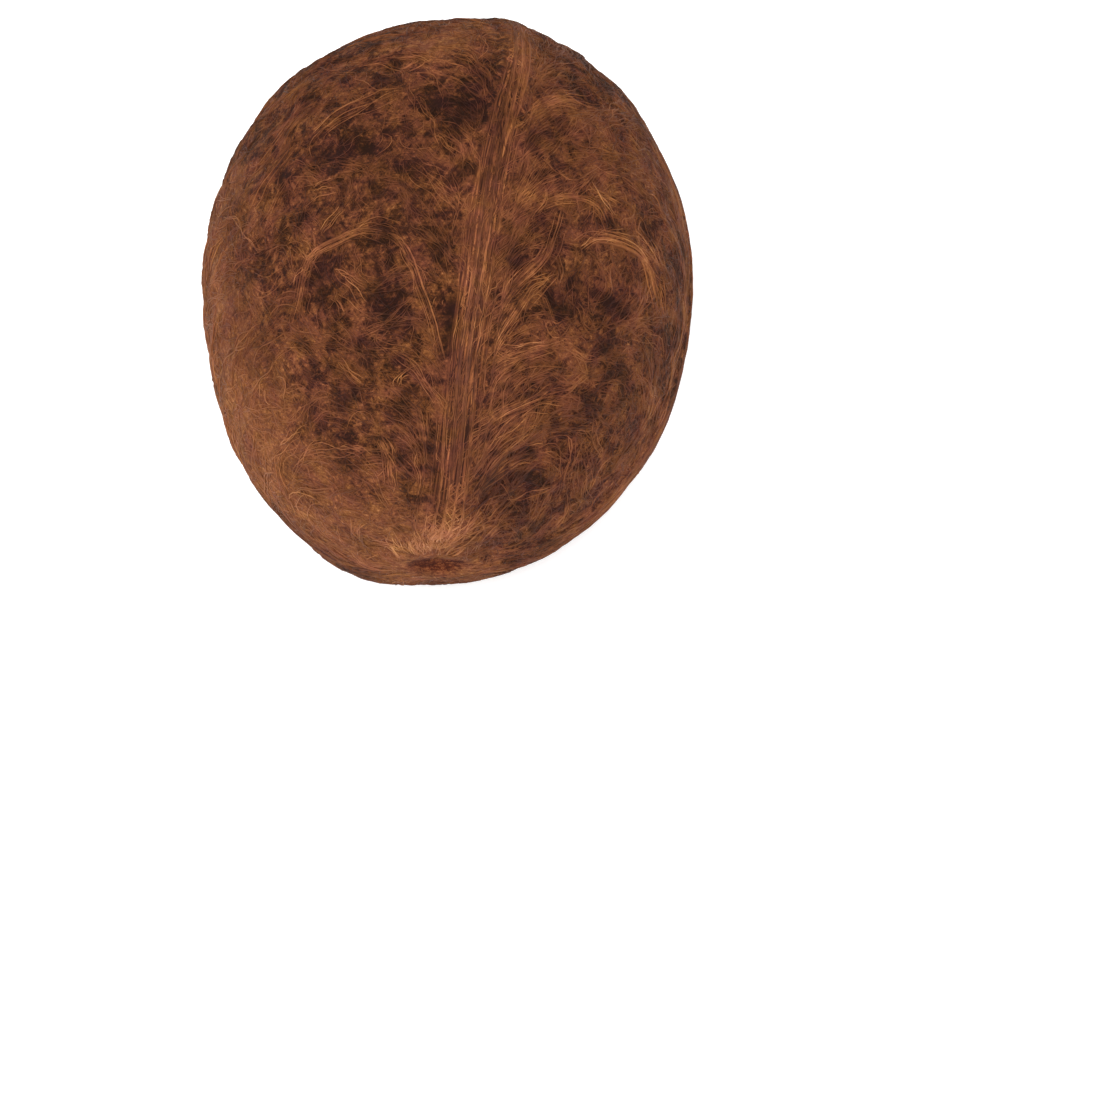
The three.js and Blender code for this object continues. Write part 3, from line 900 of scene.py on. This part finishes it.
# The ridges' strands
# Straight, stiff, lighter fibres, 0.2 to 0.3 mm thick and 13 to 60 mm long, lying side by side along
# the three ridges where the husk's three walls grew onto the shell.
RIDGE_STRANDS = (400, 560, 400)
RIDGE_LOCKS = 14
for index, (ridge, count) in enumerate(zip(RIDGE_TURNS, RIDGE_STRANDS)):
    middle = dice.uniform(-0.95, 0.9, count)
    half = dice.uniform(0.1, 0.4, count)
    south = np.maximum(middle - half, dice.uniform(-0.965, -0.85, count))
    north = np.minimum(middle + half, dice.uniform(0.85, 0.965, count))
    along = south[:, None] + np.maximum(north - south, 0.05)[:, None] * np.linspace(0, 1, 16)
    # Strands lie in locks that share a tone and a sway
    lock = dice.integers(0, RIDGE_LOCKS, count)
    lock_off = dice.normal(0.3, 1.7, RIDGE_LOCKS)[lock]
    lock_tone = dice.uniform(-0.12, 0.1, RIDGE_LOCKS)[lock]
    lock_sway = dice.uniform(0, 6, RIDGE_LOCKS)[lock]
    off = np.clip(lock_off + dice.normal(0, 0.4, count), -3.2, 4.4)[:, None]
    narrow = 1 - BUNDLE_THINNING * smoothstep(along, 0, 0.9)
    sway = 0.6 * np.sin(5 * along + lock_sway[:, None] + dice.normal(0, 0.3, count)[:, None])
    turn = ridge + (off * narrow + sway) / (GIRTH_RADIUS * np.maximum(girth(along), 0.3))
    lay_strands(f"ridge_{index + 1}", np.arcsin(along), turn,
                dice.uniform(*FINE_RADIUS, count), dice.uniform(0.02, 0.3, count),
                lock_tone + dice.normal(0, 0.06, count))


# The tuft at the eyes
# A short fan of pale, dry fibre that stands over the scar where the stalk was pulled away.
TUFT_LOCKS = 130
TUFT_LOCK_STRANDS = 5
DRAWN_TO_LATITUDE = -52
locks = TUFT_LOCKS
each = TUFT_LOCK_STRANDS
latitude = np.radians(dice.uniform(-82, -62, locks))
low = smoothstep(-latitude, math.radians(66), math.radians(80))
off = dice.normal(0, 1, locks) * (0.8 + 3 * low) + 1 - 2.2 * low
turn = off / (GIRTH_RADIUS * girth(np.sin(latitude)))
# They draw together towards a place on the seam
aside = np.arctan2(1.5 - off, HALF_LENGTH * (math.radians(DRAWN_TO_LATITUDE) - latitude))
latitude, turn = in_locks(latitude, turn, each, 0.35)
paths = walk(latitude, turn, shared(3, 6.5, locks, each, 0.4), 5,
             np.repeat(aside, each) + shared(-0.25, 0.25, locks, each, 0.1),
             shared(-0.08, 0.08, locks, each, 0.02), follow=0)
lay_strands("tuft", *paths, dice.uniform(0.08, 0.14, locks * each),
            dice.uniform(0.05, 0.35, locks * each), shared(0.04, 0.28, locks, each, 0.04))
bpy.data.objects.remove(section_object)


# The surface that the nut lies on
# A plain white studio sweep, far wider than the view.
FLOOR_HALF_WIDTH = 9
floor_mesh = bpy.data.meshes.new("floor")
floor_shape = bmesh.new()
bmesh.ops.create_grid(floor_shape, x_segments=1, y_segments=1, size=FLOOR_HALF_WIDTH)
floor_shape.to_mesh(floor_mesh)
floor_shape.free()
floor = bpy.data.objects.new("floor", floor_mesh)
bpy.context.collection.objects.link(floor)
floor_finish = Finish("white_floor")
floor_finish.set(Base_Color=(0.94, 0.94, 0.94, 1), Roughness=0.9,
                 Emission_Color=(1, 1, 1, 1), Emission_Strength=0.3)
floor_mesh.materials.append(floor_finish.material)
floor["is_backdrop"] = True


# Light and camera
# Two large soft lamps over the nut and a white room round it. The camera looks down from the eye
# end, with the nut high and left in its frame.
def soft_lamp(name, place_at, aim, width, watts):
    lamp = bpy.data.lights.new(name, "AREA")
    lamp.size = width
    lamp.energy = watts
    stand = bpy.data.objects.new(name, lamp)
    stand.location = place_at
    stand.rotation_euler = (Vector(aim) - Vector(place_at)).to_track_quat("-Z", "Y").to_euler()
    bpy.context.collection.objects.link(stand)


LIT_POINT = (0, 0, 0.05)
LAMP_WIDTH = 1.0
ROOM_STRENGTH = 0.55
soft_lamp("key_lamp", (-0.3, -0.5, 1.5), LIT_POINT, LAMP_WIDTH, 30)
soft_lamp("fill_lamp", (0.5, -0.3, 1.5), LIT_POINT, LAMP_WIDTH, 10)
room = bpy.data.worlds.new("white_room")
room.use_nodes = True
room.node_tree.nodes["Background"].inputs["Color"].default_value = (1, 1, 1, 1)
room.node_tree.nodes["Background"].inputs["Strength"].default_value = ROOM_STRENGTH
bpy.context.scene.world = room
bpy.context.scene.view_settings.view_transform = "Standard"

CAMERA_ELEVATION = math.radians(68.2)
CAMERA_DISTANCE = 1.0
VIEW_WIDTH = 0.2486
VIEW_RIGHT_OF_NUT = 0.0242
VIEW_BELOW_NUT = 0.056
SENSOR_WIDTH = 36
ahead = Vector((0, math.cos(CAMERA_ELEVATION), -math.sin(CAMERA_ELEVATION)))
upward = Vector((0, math.sin(CAMERA_ELEVATION), math.cos(CAMERA_ELEVATION)))
aim = Vector(EGG_MIDDLE) * MM + Vector((VIEW_RIGHT_OF_NUT, 0, 0)) - upward * VIEW_BELOW_NUT
lens = bpy.data.cameras.new("camera")
lens.sensor_width = SENSOR_WIDTH
lens.lens = SENSOR_WIDTH * CAMERA_DISTANCE / VIEW_WIDTH
camera = bpy.data.objects.new("camera", lens)
camera.location = aim - ahead * CAMERA_DISTANCE
camera.rotation_euler = (math.pi / 2 - CAMERA_ELEVATION, 0, 0)
bpy.context.collection.objects.link(camera)
bpy.context.scene.camera = camera

low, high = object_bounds()
